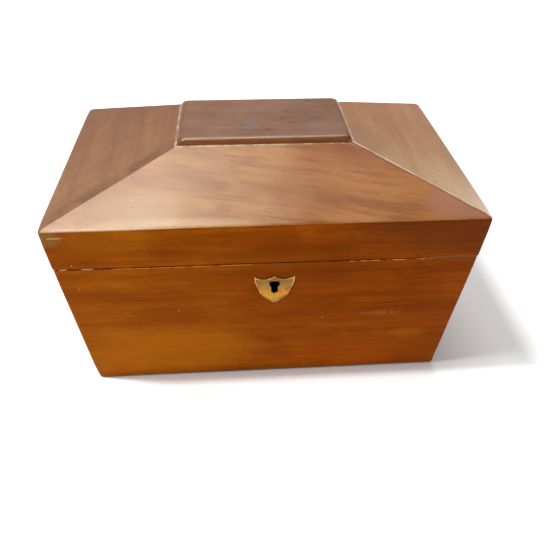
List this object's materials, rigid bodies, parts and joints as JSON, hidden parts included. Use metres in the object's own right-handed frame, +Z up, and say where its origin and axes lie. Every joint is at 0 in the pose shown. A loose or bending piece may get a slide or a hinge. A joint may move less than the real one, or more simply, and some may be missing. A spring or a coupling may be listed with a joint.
{
  "type": "tea caddy",
  "caption": "Sarcophagus-shaped wooden tea caddy with canted sides, a hinged sloping lid under a raised tablet, a brass shield keyhole plate, lidded canisters and a glass mixing bowl.",
  "frame": {"origin": "centre of the base, on the surface the caddy rests on", "axes": "+X to the right along the length, +Y to the back where the hinges are, +Z up; the keyhole faces -Y"},
  "size_m": [0.2998, 0.1948, 0.183],
  "materials": {
    "veneer": "waxed rosewood veneer, sun-faded on the lid's slopes",
    "solid_wood": "waxed rosewood",
    "carcass_wood": "plain sawn mahogany",
    "bone": "polished bone, stood in for by ceramic",
    "foil": "dull tin foil",
    "baize": "green baize",
    "lining": "thin wooden board covered in faded crimson paper",
    "glass": "clear cut glass",
    "steel": "filed steel",
    "brass": "aged brass"
  },
  "bodies": {
    "case": {"baize_base": "baize", "base_board": "carcass_wood", "body_front_board": "carcass_wood", "body_back_board": "carcass_wood", "body_left_board": "carcass_wood", "body_right_board": "carcass_wood", "body_front_veneer": "veneer", "body_back_veneer": "veneer", "body_left_veneer": "veneer", "body_right_veneer": "veneer", "divider_left": "solid_wood", "divider_right": "solid_wood", "bowl_well_board": "lining", "mixing_bowl": "glass", "escutcheon": "brass", "lock_case": "brass", "lock_cap": "brass", "lock_drill_pin": "steel", "lock_screws": "steel", "hinge_left_body_leaf": "brass", "hinge_right_body_leaf": "brass", "hinge_pins": "steel", "hinge_body_screws": "steel", "canister_left_walls": "solid_wood", "canister_left_bottom": "solid_wood", "canister_left_foil": "foil", "canister_left_lid": "solid_wood", "canister_left_knob": "bone", "canister_right_walls": "solid_wood", "canister_right_bottom": "solid_wood", "canister_right_foil": "foil", "canister_right_lid": "solid_wood", "canister_right_knob": "bone"},
    "lid": {"lid_front_rail": "carcass_wood", "lid_back_rail": "carcass_wood", "lid_left_rail": "carcass_wood", "lid_right_rail": "carcass_wood", "lid_front_slope": "carcass_wood", "lid_back_slope": "carcass_wood", "lid_left_slope": "carcass_wood", "lid_right_slope": "carcass_wood", "lid_front_rail_veneer": "veneer", "lid_back_rail_veneer": "veneer", "lid_left_rail_veneer": "veneer", "lid_right_rail_veneer": "veneer", "lid_front_slope_veneer": "veneer", "lid_back_slope_veneer": "veneer", "lid_left_slope_veneer": "veneer", "lid_right_slope_veneer": "veneer", "crown_board": "carcass_wood", "tablet": "solid_wood", "lid_lining_panel": "lining", "hinge_left_lid_leaf": "brass", "hinge_right_lid_leaf": "brass", "hinge_lid_screws": "steel", "link_plate": "brass", "link_staples": "steel", "link_plate_screws": "steel"},
    "bolt": {"lock_bolt": "steel", "lock_bolt_spring": "steel"}
  },
  "joints": [
    {"name": "lid_hinge", "type": "hinge", "parent": "case", "child": "lid", "pos_m": [0, 0.0912, 0.1182], "axis": [-1, 0, 0], "range_deg": [0, 95]},
    {"name": "lock_bolt_slide", "type": "slide", "parent": "case", "child": "bolt", "axis": [1, 0, 0], "range_m": [0, 0.005]}
  ]
}
